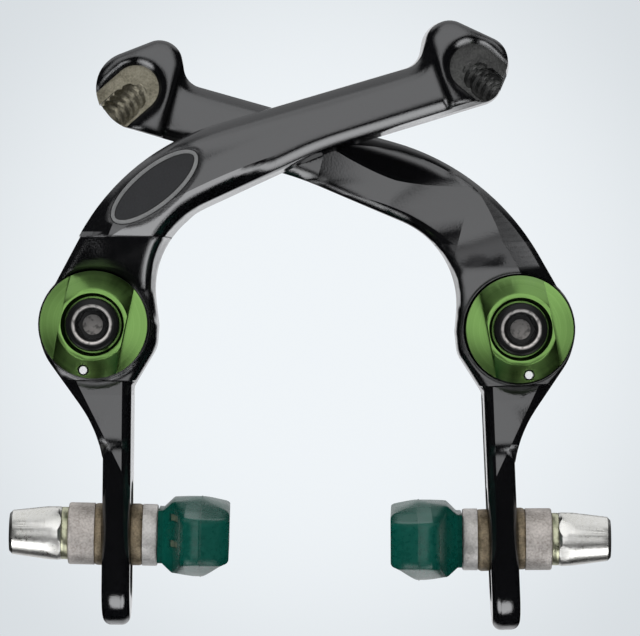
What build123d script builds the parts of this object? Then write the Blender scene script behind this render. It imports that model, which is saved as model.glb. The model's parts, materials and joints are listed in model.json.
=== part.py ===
from build123d import *
import math
import os

# U brake for BMX cycles, in millimetres: +X to the rider's view right, +Y towards the
# frame, +Z up. The origin is midway between the two frame studs, on the plane of
# their end faces, where the pivot bolts clamp.

# Frame side
STUD_SPACING = 80.0
FRAME_STUD_D = 9.0
THREAD_D = 6.0

# Rest position of the arms, as they stand in the hand
LEFT_OPEN_DEG = 0.0
RIGHT_OPEN_DEG = 3.0

# Pivot bush and boss
BUSH_LENGTH = 20.4
BUSH_D = 12.0
BUSH_STUD_FIT = 0.05
BUSH_ARM_FIT = 0.05
BUSH_CHAMFER = 0.4
BOSS_END_GAP = 0.2
BOSS_FACE_R = 10.55
BOSS_PARTING_R = 11.3
BOSS_RING_HEIGHT = 0.8
WELL_R = 9.85
WELL_HUB_R = 7.45
WELL_DEPTH = 13.0
FORGING_DRAFT = 4.0

# Upper arm
FRONT_BAR = (-4.3, 6.5)
REAR_BAR = (8.7, 19.4)
BAR_BEVEL_WIDTH = 1.9
BAR_BEVEL_DEPTH = 1.3
LUG_PROUD = 1.4
LUG_BEVEL = 0.7
SHOULDER_Z = 11.6
FRONT_SLOPE_Z = (6.2, 16.6)
REAR_SLOPE_TOP_Z = 30.0
BACK_SLOPE_Z = (12.0, 23.0)
SLOPE_BEVEL = 1.0
ADJUSTER_ROOM = 0.35

# Cable socket in the lug
SOCKET_AXIS_XZ = (69.9, 48.4)
SOCKET_FALL_DEG = 39.0
SOCKET_TILT_DEG = 42.0
SOCKET_R = 3.0
SOCKET_RIDGE = 0.42
SOCKET_PITCH = 1.86
SOCKET_RIDGES = 7
SOCKET_RIM_XZ = (70.6, 48.9)
SOCKET_RIM_R = 4.4
SOCKET_RIM_DEPTH = 1.7
SOCKET_LIP = 1.5
SOCKET_LIP_DEPTH = 0.9
SOCKET_RUNOUT = 12.0
SOCKET_CHANNEL_EASE = 0.05

# Badge recess on the front arm
BADGE_XZ = (11.3, 25.9)
BADGE_LENGTH = 20.4
BADGE_WIDTH = 8.0
BADGE_TURN_DEG = 39.5
BADGE_GROOVE = 0.7
BADGE_DEPTH = 0.45

# Web and leg
WEB_SETBACK = 1.7
WEB_END_Z = -22.0
WEB_RUNOUT = 3.5
LEG_THICKNESS = 5.3
LEG_CENTRE_X = 4.3
LEG_DEPTH = 15.0
LEG_TOP_Z = -10.0
LEG_BOTTOM_Z = -57.3
LEG_EDGE_R = 1.7
SLOT_TOP_Z = -29.9
SLOT_BOTTOM_Z = -51.7
SLOT_WIDTH = 7.1

# Return spring
WIRE_D = 1.6
WIRE_SIDES = 10
SPRING_R = 8.7
SPRING_TURNS = 4.5
SPRING_PITCH = 2.1
SPRING_HOLE_D = 2.1
SPRING_BACK_LEG = 3.0
SPRING_FRONT_GAP = 0.6

# Tension adjuster
ADJUSTER_R = 10.1
ADJUSTER_FLANGE = 1.9
ADJUSTER_HEIGHT = 5.5
ADJUSTER_RIM_R = 7.0
ADJUSTER_RIM_EDGE = 0.3
ADJUSTER_RECESS_R = 5.9
ADJUSTER_SEAT_R = 5.35
ADJUSTER_RECESS_Y = -3.9
ADJUSTER_FLOOR = 1.8
ADJUSTER_FLATS = 12.1
ADJUSTER_TURN_DEG = 11.4
ADJUSTER_BORE_R = 3.2

# Pivot bolt
BOLT_HEAD_D = 10.0
BOLT_HEAD_HEIGHT = 5.0
BOLT_HEAD_ROUND = 0.8
BOLT_NECK_R = 2.5
BOLT_NECK_RUNOUT = 0.3
BOLT_THREAD_LENGTH = 14.0
BOLT_TIP_CHAMFER = 0.8
HEX_KEY = 5.0
HEX_DEPTH = 3.0
HEX_MOUTH_R = 3.6
HEX_PIP_R = 1.9
HEX_PIP_DEPTH = 0.4

# Pad stud and its washers, measured along the stud from the middle of the leg
PAD_DROP = -40.0
PAD_TOE = 1.3
LEFT_PAD_TILT = 0.7
RIGHT_PAD_TILT = -2.1
STUD_D = 6.0
STUD_TIP_CHAMFER = 0.6
STUD_TAIL_GAP = 0.6
THREAD_FIT = 0.05
WASHER_BORE_R = 3.9
INNER_BALL_R = 7.4
OUTER_BALL_R = 7.1
BALL_SEAT_GAP = 0.15
WASHER_R = 5.9
WASHER_EDGE = 0.25
INNER_CUP_RIM = 3.0
OUTER_CUP_RIM = 5.1
NUT_WASHER_R = 5.0
NUT_WASHER_THICKNESS = 1.35
NUT_WASHER_PLAY = 0.3
NUT_LENGTH = 9.9
NUT_FLATS = 10.0
NUT_BASE_R = 5.3
NUT_END_R = 4.2
NUT_END_EDGE = 0.6
NUT_WALL = 2.0

# Brake pad
PAD_WIDTH = 13.5
PAD_LENGTH = 52.0
PAD_NECK_HEIGHT = 10.0
PAD_HEIGHT = 15.0
PAD_FACE_HEIGHT = 10.6
PAD_PARTING = 8.2
PAD_NECK_X = 0.9
PAD_NECK_LENGTH = 18.0
PAD_SHOULDER_X = 2.9
PAD_SHOULDER_HEIGHT = 13.6
PAD_SHOULDER_LENGTH = 24.0
PAD_SHOULDER_R = 1.5
PAD_SEAT_GAP = 0.1
PAD_END_R = 2.5
PAD_END_HEIGHT = 9.2
PAD_END_BACK = 4.6
PAD_CORNER_R = 1.4
RIM_R = 280.0
PLATE_LENGTH = 34.0
PLATE_HEIGHT = 6.0
PLATE_THICKNESS = 2.0
PLATE_X = 5.4

PIVOT_X = STUD_SPACING / 2
MID_Y = BUSH_LENGTH / 2
BOSS_FRONT = BOSS_END_GAP
BOSS_BACK = BUSH_LENGTH - BOSS_END_GAP
BOLT_SEAT_Y = -ADJUSTER_FLOOR
REACH = 200.0


def at_depth(y):
    """Plane facing the front (-Y) at depth y, with sketch x as X and sketch y as Z."""
    return Plane.XZ.offset(-y)


def prism(outline, y_front, y_back):
    return extrude(at_depth(y_back) * outline, y_back - y_front)


def drafted(outline, y_front, y_back, y_parting):
    """Forged slab: its walls lean in by the draft on both sides of the parting plane."""
    slab = None
    for depth in (y_parting - y_front, y_parting - y_back):
        if abs(depth) > 0.01:
            half = extrude(at_depth(y_parting) * outline, depth, taper=FORGING_DRAFT)
            slab = half if slab is None else slab + half
    return slab


def y_cylinder(radius, y_front, y_back):
    return prism(Circle(radius), y_front, y_back)


def turned_about_y(points):
    """Revolve a profile of (radius, y) points about the Y axis."""
    profile = make_face(Polyline(*points, close=True))
    return revolve(profile, Axis.Y)


def turned_about_x(points):
    """Revolve a profile of (x, radius) points about the X axis."""
    profile = make_face(Polyline(*points, close=True))
    return revolve(profile, Axis.X)


def side_profile(points):
    """A solid across the whole arm with a profile of (y, z) points."""
    face = Plane.YZ * make_face(Polyline(*points, close=True))
    return extrude(face, REACH, both=True)


# Arm outlines seen from the front, with the pivot at the origin and the other arm to +X.
# Each row is a corner and the radius that rounds it. The two arms are separate forgings.
BOSS_LEAVE = (-9.3, 5.5)
FRONT_ARM_CORNERS = [
    ((5.0, 33.0), 43.5),
    ((60.5, 50.0), 4.0),
    ((62.2, 60.6), 5.0),
    ((79.4, 52.8), 5.3),
    ((75.4, 43.2), 4.4),
    ((42.9, 32.9), 60.0),
    ((9.6, 17.1), 17.0),
]
REAR_ARM_CORNERS = [
    ((3.7, 30.7), 46.5),
    ((61.1, 49.5), 4.0),
    ((62.1, 59.5), 4.4),
    ((79.7, 53.5), 7.0),
    ((77.0, 42.9), 6.5),
    ((39.8, 30.4), 60.0),
    ((9.8, 16.0), 17.0),
]
HIP = (11.85, 0.0)
LUG_BACK_X = 66.0
LUG_WAIST = 0.35
WEB_LEAVE = (-10.9, -3.0)
WEB_HIP = (-9.8, -6.4)
WEB_HIP_R = 12.0
WEB_SLOPE = 1.36
WEB_CORNER_R = 25.0
WEB_INNER_HIP = (11.6, -4.2)
WEB_INNER_HIP_R = 5.0
WEB_ARMPIT_Z = -12.2
WEB_ARMPIT_R = 5.0
WEB_OVERLAP = 0.25


def upper_outline(corners):
    points = [BOSS_LEAVE] + [corner for corner, radius in corners] + [HIP]
    edge = FilletPolyline(*points, radius=[radius for corner, radius in corners])
    return make_face([edge, Line(HIP, BOSS_LEAVE)])


def lug_outline(corners):
    """The tip of the upper outline, past a slanted line across the neck."""
    heel, top = corners[1][0], corners[2][0]
    toe, low = corners[4][0], corners[5][0]
    part = (LUG_BACK_X - low[0]) / (toe[0] - low[0])
    foot = (LUG_BACK_X, low[1] + part * (toe[1] - low[1]))
    waist = (
        heel[0] + LUG_WAIST * (top[0] - heel[0]),
        heel[1] + LUG_WAIST * (top[1] - heel[1]),
    )
    points = [waist, top, corners[3][0], toe, foot]
    edge = FilletPolyline(*points, radius=[corners[i][1] for i in (2, 3, 4)])
    return make_face([edge, Line(foot, waist)])


def web_outline(corners):
    leg_out = LEG_CENTRE_X - LEG_THICKNESS / 2
    leg_in = LEG_CENTRE_X + LEG_THICKNESS / 2
    corner = (leg_out, WEB_HIP[1] - (leg_out - WEB_HIP[0]) * WEB_SLOPE)
    low = WEB_END_Z - WEB_RUNOUT
    last = corners[-1][0]
    top = (HIP[0] + WEB_OVERLAP * (last[0] - HIP[0]), HIP[1] + WEB_OVERLAP * (last[1] - HIP[1]))
    edge = FilletPolyline(
        WEB_LEAVE, WEB_HIP, corner, (leg_out, LEG_BOTTOM_Z), radius=[WEB_HIP_R, WEB_CORNER_R]
    )
    inner = FilletPolyline(
        (leg_in, LEG_BOTTOM_Z), (leg_in, WEB_ARMPIT_Z), WEB_INNER_HIP, HIP,
        radius=[WEB_ARMPIT_R, WEB_INNER_HIP_R],
    )
    whole = make_face([
        edge,
        Line((leg_out, LEG_BOTTOM_Z), (leg_in, LEG_BOTTOM_Z)),
        inner,
        Polyline(HIP, top, WEB_LEAVE),
    ])
    return whole & Pos(0, low + REACH / 2) * Rectangle(REACH, REACH)


def barrel():
    return turned_about_y([
        (0.0, BOSS_FRONT),
        (BOSS_FACE_R, BOSS_FRONT),
        (BOSS_PARTING_R, MID_Y),
        (BOSS_FACE_R, BOSS_BACK),
        (0.0, BOSS_BACK),
    ])


def front_face(solid):
    return min(solid.faces().filter_by(Axis.Y), key=lambda f: f.center().Y)


def bar(corners, front, back):
    """Upper bar with a wide bevel round its front face."""
    parting = min(back, max(front, MID_Y))
    slab = drafted(upper_outline(corners), front, back, parting)
    face = front_face(slab)
    return chamfer(face.edges(), BAR_BEVEL_WIDTH, BAR_BEVEL_DEPTH, reference=face)


def lug(corners, front, back):
    parting = min(back, max(front, MID_Y))
    block = drafted(lug_outline(corners), front, back, parting)
    return chamfer(front_face(block).edges(), LUG_BEVEL)


def slope_bevelled(block, y, z):
    """Bevel both long edges of the sloped face that passes through (0, y, z)."""
    slope = min(block.faces(), key=lambda f: f.distance_to(Vertex(0, y, z)))
    ends = (slope.bounding_box().min.Z, slope.bounding_box().max.Z)
    sides = [e for e in slope.edges() if ends[0] + 0.1 < e.center().Z < ends[1] - 0.1]
    return chamfer(sides, SLOPE_BEVEL)


def front_shoulder(corners, front, back):
    """Body between the boss and the front bar. Its face slopes up towards the viewer."""
    foot = BOSS_FRONT + BOSS_RING_HEIGHT
    block = drafted(upper_outline(corners), front, BOSS_BACK, MID_Y)
    keep = side_profile([
        (foot, -2.0),
        (foot, FRONT_SLOPE_Z[0]),
        (front, FRONT_SLOPE_Z[1]),
        (foot, FRONT_SLOPE_Z[1]),
        (foot, BACK_SLOPE_Z[1]),
        (back, BACK_SLOPE_Z[1]),
        (BOSS_BACK, BACK_SLOPE_Z[0]),
        (BOSS_BACK, -2.0),
    ])
    middle_y = (foot + front) / 2
    middle_z = sum(FRONT_SLOPE_Z) / 2
    block = slope_bevelled(block & keep, middle_y, middle_z)
    return block - y_cylinder(ADJUSTER_R + ADJUSTER_ROOM, front - 1.0, BOSS_FRONT)


def rear_shoulder(corners, front, back):
    """Body between the boss and the rear bar. Its face runs back in a hollow curve."""
    foot = BOSS_FRONT + BOSS_RING_HEIGHT
    block = drafted(upper_outline(corners), foot, BOSS_BACK, MID_Y)
    rise = REAR_SLOPE_TOP_Z - SHOULDER_Z
    fall = front - foot
    radius = (rise ** 2 + fall ** 2) / (2.0 * fall)
    half = math.asin(rise / radius) / 2
    middle = (front - radius * (1 - math.cos(half)), REAR_SLOPE_TOP_Z - radius * math.sin(half))
    face = make_face([
        Polyline((foot, SHOULDER_Z), (foot, -2.0), (BOSS_BACK, -2.0), (BOSS_BACK, BACK_SLOPE_Z[0]),
                 (back, BACK_SLOPE_Z[1]), (back, REAR_SLOPE_TOP_Z), (front, REAR_SLOPE_TOP_Z)),
        ThreePointArc((front, REAR_SLOPE_TOP_Z), middle, (foot, SHOULDER_Z)),
    ])
    return slope_bevelled(block & extrude(Plane.YZ * face, REACH, both=True), *middle)


def web(corners):
    front = BOSS_FRONT + WEB_SETBACK
    back = BOSS_BACK - WEB_SETBACK
    slab = drafted(web_outline(corners), front, back, MID_Y)
    leg_front = MID_Y - LEG_DEPTH / 2
    leg_back = MID_Y + LEG_DEPTH / 2
    top = HIP[1] + BOSS_PARTING_R
    keep = side_profile([
        (front, top),
        (front, WEB_END_Z),
        (leg_front + LEG_EDGE_R, WEB_END_Z - WEB_RUNOUT),
        (leg_back - LEG_EDGE_R, WEB_END_Z - WEB_RUNOUT),
        (back, WEB_END_Z),
        (back, top),
    ])
    return slab & keep


def leg():
    r = LEG_DEPTH / 2
    low = LEG_BOTTOM_Z + r
    face = Pos(MID_Y, (LEG_TOP_Z + low) / 2) * Rectangle(LEG_DEPTH, LEG_TOP_Z - low)
    face += Pos(MID_Y, low) * Circle(r)
    x0 = LEG_CENTRE_X - LEG_THICKNESS / 2
    plate = extrude(Plane.YZ.offset(x0) * face, LEG_THICKNESS)
    sides = [e for e in plate.edges() if abs(e.center().X - LEG_CENTRE_X) > LEG_THICKNESS / 4]
    rim = [e for e in sides if e.center().Z < LEG_TOP_Z - 0.1]
    return fillet(rim, LEG_EDGE_R)


def leg_slot():
    length = SLOT_TOP_Z - SLOT_BOTTOM_Z
    centre = (SLOT_TOP_Z + SLOT_BOTTOM_Z) / 2
    face = Pos(MID_Y, centre) * SlotOverall(length, SLOT_WIDTH, rotation=90)
    return extrude(Plane.YZ.offset(LEG_CENTRE_X) * face, LEG_THICKNESS, both=True)


def spring_well():
    well = turned_about_y([
        (WELL_HUB_R, BOSS_FRONT - 1.0),
        (WELL_R, BOSS_FRONT - 1.0),
        (WELL_R, BOSS_FRONT + WELL_DEPTH),
        (WELL_HUB_R, BOSS_FRONT + WELL_DEPTH),
    ])
    x, z = spring_end(SPRING_TURNS)
    hole = Pos(x, 0, z) * y_cylinder(SPRING_HOLE_D / 2, BOSS_FRONT + WELL_DEPTH - 1.0, BOSS_BACK + 1.0)
    return well + hole


def spring_end(turns):
    """Where the spring wire is, some turns on from its front leg."""
    angle = math.radians(-90.0 - ADJUSTER_TURN_DEG - 360.0 * turns)
    return SPRING_R * math.cos(angle), SPRING_R * math.sin(angle)


def channel(centre, radius):
    """Outline of a round-ended channel that runs down and off the lug."""
    run = Pos(SOCKET_RUNOUT / 2, 0) * Rectangle(SOCKET_RUNOUT, 2 * radius) + Circle(radius)
    return Pos(*centre) * Rot(0, 0, -SOCKET_FALL_DEG) * run


def socket_bore():
    """Ridged bore about the Z axis, starting well before the origin."""
    points = [(0.0, -SOCKET_RUNOUT), (SOCKET_R, -SOCKET_RUNOUT)]
    for i in range(SOCKET_RIDGES):
        z = (i - 1) * SOCKET_PITCH
        points.append((SOCKET_R, z - 0.25 * SOCKET_PITCH))
        points.append((SOCKET_R - SOCKET_RIDGE, z))
        points.append((SOCKET_R, z + 0.25 * SOCKET_PITCH))
    points.append((SOCKET_R, points[-1][1] + SOCKET_RUNOUT))
    points.append((0.0, points[-1][1]))
    return revolve(Plane.XZ * make_face(Polyline(*points, close=True)), Axis.Z)


def cable_socket(face_y):
    """Cuts of the cable bolt's socket. A ridged bore runs down and away from the viewer,
    a channel opens it to the front, and a rim with a bevelled lip goes round both."""
    tilt = math.radians(SOCKET_TILT_DEG)
    fall = math.radians(SOCKET_FALL_DEG)
    across = math.cos(tilt)
    away = Vector(across * math.cos(fall), math.sin(tilt), -across * math.sin(fall))
    on = SOCKET_R / math.sin(tilt) - SOCKET_R
    mouth = (SOCKET_AXIS_XZ[0] + on * math.cos(fall), face_y, SOCKET_AXIS_XZ[1] - on * math.sin(fall))
    seat = Plane(origin=mouth, x_dir=(math.sin(fall), 0, math.cos(fall)), z_dir=away).location
    bore = seat * socket_bore()
    above = seat * Pos(0, REACH / 2, 0) * Box(REACH, REACH, REACH)
    width = SOCKET_R + SOCKET_CHANNEL_EASE
    strip = prism(channel(SOCKET_AXIS_XZ, width), face_y - 1.0, face_y + SOCKET_RUNOUT) & above
    rim = channel(SOCKET_RIM_XZ, SOCKET_RIM_R)
    lip = extrude(
        at_depth(face_y + SOCKET_LIP_DEPTH) * rim, 2 * SOCKET_LIP_DEPTH,
        taper=-math.degrees(math.atan2(SOCKET_LIP, SOCKET_LIP_DEPTH)),
    )
    return [bore, strip, prism(rim, face_y - 1.0, face_y + SOCKET_RIM_DEPTH), lip]


def badge_groove(face_y):
    ring = Ellipse(BADGE_LENGTH / 2, BADGE_WIDTH / 2)
    ring -= Ellipse(BADGE_LENGTH / 2 - BADGE_GROOVE, BADGE_WIDTH / 2 - BADGE_GROOVE)
    placed = Pos(*BADGE_XZ) * Rot(0, 0, BADGE_TURN_DEG) * ring
    return prism(placed, face_y - 1.0, face_y + BADGE_DEPTH)


def arm(front_arm):
    corners = FRONT_ARM_CORNERS if front_arm else REAR_ARM_CORNERS
    front, back = FRONT_BAR if front_arm else REAR_BAR
    upper = bar(corners, front, back) + lug(corners, front - LUG_PROUD, back)
    if front_arm:
        upper -= side_profile([
            (front - LUG_PROUD, FRONT_SLOPE_Z[1]),
            (back, FRONT_SLOPE_Z[1]),
            (back, -REACH),
            (front - LUG_PROUD, -REACH),
        ])
        middle = front_shoulder(corners, front, back)
    else:
        middle = rear_shoulder(corners, front, back)
    body = barrel() + upper + middle + web(corners) + leg()
    body -= y_cylinder(ADJUSTER_R + ADJUSTER_ROOM, front - LUG_PROUD, BOSS_FRONT)
    body -= y_cylinder(BUSH_D / 2 + BUSH_ARM_FIT, BOSS_FRONT - 1.0, BOSS_BACK + 1.0)
    body -= spring_well()
    body -= leg_slot()
    for cut in cable_socket(front - LUG_PROUD):
        body -= cut
    if front_arm:
        body -= badge_groove(front)
    return body


def pivot_bush():
    sleeve = y_cylinder(BUSH_D / 2, 0.0, BUSH_LENGTH)
    sleeve -= y_cylinder(FRAME_STUD_D / 2 + BUSH_STUD_FIT, -1.0, BUSH_LENGTH + 1.0)
    rims = [e for e in sleeve.edges() if e.geom_type == GeomType.CIRCLE and e.radius > BUSH_D / 2 - 0.01]
    return chamfer(rims, BUSH_CHAMFER)


def return_spring(open_deg):
    """Torsion spring: its front leg stands in the adjuster, its back leg in the arm."""
    wire = WIRE_D / 2
    start_y = BOSS_FRONT + SPRING_FRONT_GAP + wire
    end_y = start_y + (SPRING_TURNS + open_deg / 360.0) * SPRING_PITCH
    path = Helix(SPRING_PITCH, end_y - start_y, SPRING_R)
    section = Plane(origin=path @ 0, z_dir=path % 0) * RegularPolygon(wire, WIRE_SIDES)
    coil = sweep(section, path=path)
    coil = Pos(0, start_y, 0) * Rot(0, 90 + ADJUSTER_TURN_DEG, 0) * Rot(-90, 0, 0) * coil
    x0, z0 = spring_end(0.0)
    x1, z1 = spring_end(SPRING_TURNS + open_deg / 360.0)
    coil += Pos(x0, start_y, z0) * Sphere(wire)
    coil += Pos(x1, end_y, z1) * Sphere(wire)
    coil += Pos(x0, 0, z0) * y_cylinder(wire, cone_y(SPRING_R), start_y)
    coil += Pos(x1, 0, z1) * y_cylinder(wire, end_y, BOSS_FRONT + WELL_DEPTH + SPRING_BACK_LEG)
    return coil


def cone_y(radius):
    """Depth of the adjuster's cone at a radius."""
    share = (ADJUSTER_R - radius) / (ADJUSTER_R - ADJUSTER_RIM_R)
    return -ADJUSTER_FLANGE - share * (ADJUSTER_HEIGHT - ADJUSTER_FLANGE - ADJUSTER_RIM_EDGE)


def tension_adjuster():
    top = -ADJUSTER_HEIGHT
    cap = turned_about_y([
        (ADJUSTER_BORE_R, 0.0),
        (ADJUSTER_R, 0.0),
        (ADJUSTER_R, -ADJUSTER_FLANGE),
        (ADJUSTER_RIM_R, top + ADJUSTER_RIM_EDGE),
        (ADJUSTER_RIM_R - ADJUSTER_RIM_EDGE, top),
        (ADJUSTER_RECESS_R, top),
        (ADJUSTER_RECESS_R, ADJUSTER_RECESS_Y),
        (ADJUSTER_SEAT_R, ADJUSTER_RECESS_Y + ADJUSTER_RIM_EDGE),
        (ADJUSTER_SEAT_R, BOLT_SEAT_Y),
        (ADJUSTER_BORE_R, BOLT_SEAT_Y),
    ])
    for side in (-1, 1):
        block = Pos(side * (ADJUSTER_FLATS + ADJUSTER_R) / 2, 0) * Rectangle(ADJUSTER_R, 3 * ADJUSTER_R)
        cap -= prism(block, top - 1.0, -ADJUSTER_FLANGE)
    cap -= Pos(0, 0, -SPRING_R) * y_cylinder(SPRING_HOLE_D / 2, top - 1.0, 1.0)
    return Rot(0, ADJUSTER_TURN_DEG, 0) * cap


def pivot_bolt():
    front = BOLT_SEAT_Y - BOLT_HEAD_HEIGHT
    thread = THREAD_D / 2
    shank = turned_about_y([
        (0.0, front),
        (BOLT_HEAD_D / 2 - BOLT_HEAD_ROUND, front),
        (BOLT_HEAD_D / 2 - 0.3 * BOLT_HEAD_ROUND, front + 0.3 * BOLT_HEAD_ROUND),
        (BOLT_HEAD_D / 2, front + BOLT_HEAD_ROUND),
        (BOLT_HEAD_D / 2, BOLT_SEAT_Y),
        (BOLT_NECK_R, BOLT_SEAT_Y),
        (BOLT_NECK_R, BOLT_NECK_RUNOUT),
        (thread, BOLT_NECK_RUNOUT),
        (thread, BOLT_THREAD_LENGTH - BOLT_TIP_CHAMFER),
        (thread - BOLT_TIP_CHAMFER, BOLT_THREAD_LENGTH),
        (0.0, BOLT_THREAD_LENGTH),
    ])
    key = prism(RegularPolygon(HEX_KEY / 2, 6, major_radius=False), front - 1.0, front + HEX_DEPTH)
    corner = HEX_KEY / math.sqrt(3.0)
    mouth = turned_about_y([
        (0.0, front - 1.0),
        (HEX_MOUTH_R + 1.0, front - 1.0),
        (corner - 0.2, front + HEX_MOUTH_R + 0.2 - corner),
        (0.0, front + HEX_MOUTH_R + 0.2 - corner),
    ])
    pip = y_cylinder(HEX_PIP_R, front + HEX_DEPTH - 0.1, front + HEX_DEPTH + HEX_PIP_DEPTH)
    return shank - key - mouth - pip


def ball_washer(ball_r):
    """Ball washer: flat on the leg, with a ball face centred on the middle of the leg."""
    flat = LEG_THICKNESS / 2
    return revolve(make_face([
        Line((flat, WASHER_BORE_R), (flat, WASHER_R)),
        Line((flat, WASHER_R), on_ball(ball_r, WASHER_R)),
        ball_arc(ball_r),
        Line(on_ball(ball_r, WASHER_BORE_R), (flat, WASHER_BORE_R)),
    ]), Axis.X)


def cup_washer(ball_r, rim):
    """Cup washer: hollow face on the ball washer and a flat back, rim wide at its edge."""
    radius = ball_r + BALL_SEAT_GAP
    back = cup_back(ball_r, rim)
    return revolve(make_face([
        ball_arc(radius),
        Line(on_ball(radius, WASHER_BORE_R), (back, WASHER_BORE_R)),
        Line((back, WASHER_BORE_R), (back, WASHER_R - WASHER_EDGE)),
        Line((back, WASHER_R - WASHER_EDGE), (back - WASHER_EDGE, WASHER_R)),
        Line((back - WASHER_EDGE, WASHER_R), on_ball(radius, WASHER_R)),
    ]), Axis.X)


def on_ball(radius, height):
    return (math.sqrt(radius ** 2 - height ** 2), height)


def ball_arc(radius):
    middle = on_ball(radius, (WASHER_R + WASHER_BORE_R) / 2)
    return ThreePointArc(on_ball(radius, WASHER_R), middle, on_ball(radius, WASHER_BORE_R))


def cup_back(ball_r, rim):
    return on_ball(ball_r + BALL_SEAT_GAP, WASHER_R)[0] + rim


def nut_washer():
    x0 = cup_back(OUTER_BALL_R, OUTER_CUP_RIM)
    return turned_about_x([
        (x0, STUD_D / 2 + NUT_WASHER_PLAY),
        (x0, NUT_WASHER_R),
        (x0 + NUT_WASHER_THICKNESS, NUT_WASHER_R),
        (x0 + NUT_WASHER_THICKNESS, STUD_D / 2 + NUT_WASHER_PLAY),
    ])


def cap_nut():
    """Long closed nut: hexagon at its base, turned to a cone towards its end."""
    x0 = cup_back(OUTER_BALL_R, OUTER_CUP_RIM) + NUT_WASHER_THICKNESS
    x1 = x0 + NUT_LENGTH
    bore = STUD_D / 2 + THREAD_FIT
    cone = turned_about_x([
        (x0, 0.0),
        (x0, NUT_FLATS / 2),
        (x0 + NUT_END_EDGE, NUT_BASE_R),
        (x1 - NUT_END_EDGE, NUT_END_R),
        (x1, NUT_END_R - NUT_END_EDGE),
        (x1, 0.0),
    ])
    hexagon = RegularPolygon(NUT_FLATS / 2, 6, major_radius=False)
    cone &= extrude(Plane.YZ.offset(x0) * hexagon, NUT_LENGTH)
    return cone - turned_about_x([
        (x0 - 1.0, 0.0), (x0 - 1.0, bore), (x1 - NUT_WALL, bore), (x1 - NUT_WALL, 0.0),
    ])


def pad_stud():
    """Threaded stud whose end plate is moulded into the pad."""
    nut_x = cup_back(OUTER_BALL_R, OUTER_CUP_RIM) + NUT_WASHER_THICKNESS
    tail = -(nut_x + NUT_LENGTH - NUT_WALL - STUD_TAIL_GAP)
    plate_x = pad_back_x() + PLATE_X
    r = STUD_D / 2
    shank = turned_about_x([
        (tail, 0.0),
        (tail, r - STUD_TIP_CHAMFER),
        (tail + STUD_TIP_CHAMFER, r),
        (plate_x, r),
        (plate_x, 0.0),
    ])
    plate = extrude(Plane.YZ.offset(plate_x) * SlotOverall(PLATE_LENGTH, PLATE_HEIGHT), PLATE_THICKNESS)
    return shank + plate


def pad_back_x():
    return cup_back(INNER_BALL_R, INNER_CUP_RIM) + PAD_SEAT_GAP


def brake_pad():
    """Moulded block: end view, plan and side view cut one solid. The face is at +X."""
    half_length = PAD_LENGTH / 2
    half = PAD_HEIGHT / 2
    neck = PAD_NECK_HEIGHT / 2
    end_view = make_face(Polyline(
        (0.0, -neck), (PAD_NECK_X, -neck), (PAD_SHOULDER_X, -PAD_SHOULDER_HEIGHT / 2),
        (PAD_PARTING, -half), (PAD_WIDTH, -PAD_FACE_HEIGHT / 2), (PAD_WIDTH, PAD_FACE_HEIGHT / 2),
        (PAD_PARTING, half), (PAD_SHOULDER_X, PAD_SHOULDER_HEIGHT / 2), (PAD_NECK_X, neck),
        (0.0, neck), close=True,
    ))
    corners = [v for v in end_view.vertices() if v.X > PAD_WIDTH - 0.1]
    end_view = fillet(corners, PAD_CORNER_R)
    shoulders = [v for v in end_view.vertices() if abs(v.X - PAD_SHOULDER_X) < 0.01]
    end_view = fillet(shoulders, PAD_SHOULDER_R)
    plan = make_face(Polyline(
        (0.0, -PAD_NECK_LENGTH / 2), (PAD_NECK_X, -PAD_NECK_LENGTH / 2),
        (PAD_SHOULDER_X, -PAD_SHOULDER_LENGTH / 2), (PAD_END_BACK, -half_length),
        (PAD_WIDTH, -half_length), (PAD_WIDTH, half_length), (PAD_END_BACK, half_length),
        (PAD_SHOULDER_X, PAD_SHOULDER_LENGTH / 2), (PAD_NECK_X, PAD_NECK_LENGTH / 2),
        (0.0, PAD_NECK_LENGTH / 2), close=True,
    ))
    ends = [v for v in plan.vertices() if abs(v.Y) > half_length - 0.1]
    plan = fillet(ends, PAD_END_R)
    droop = RIM_R - math.sqrt(RIM_R ** 2 - half_length ** 2)
    top = PAD_END_HEIGHT / 2 - droop
    low = -PAD_END_HEIGHT / 2 - droop
    side_view = make_face([
        ThreePointArc((-half_length, top), (0.0, half), (half_length, top)),
        Line((half_length, top), (half_length, low)),
        ThreePointArc((half_length, low), (0.0, -half), (-half_length, low)),
        Line((-half_length, low), (-half_length, top)),
    ])
    block = extrude(Plane.XZ * end_view, PAD_LENGTH, both=True)
    block &= extrude(plan, PAD_HEIGHT, both=True)
    block &= extrude(Plane.YZ * side_view, PAD_WIDTH)
    return Pos(pad_back_x(), 0, 0) * block - pad_stud()


def on_leg(part):
    return Pos(LEG_CENTRE_X, MID_Y, PAD_DROP) * part


def on_stud(part, tilt):
    """Stand a pad stud piece on the leg, tilted and toed about the middle of the leg."""
    return on_leg(Rot(0, 0, PAD_TOE) * Rot(0, tilt, 0) * part)


def flipped(part):
    """The same piece on the outer side of the leg."""
    return Rot(0, 0, 180) * part


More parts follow.
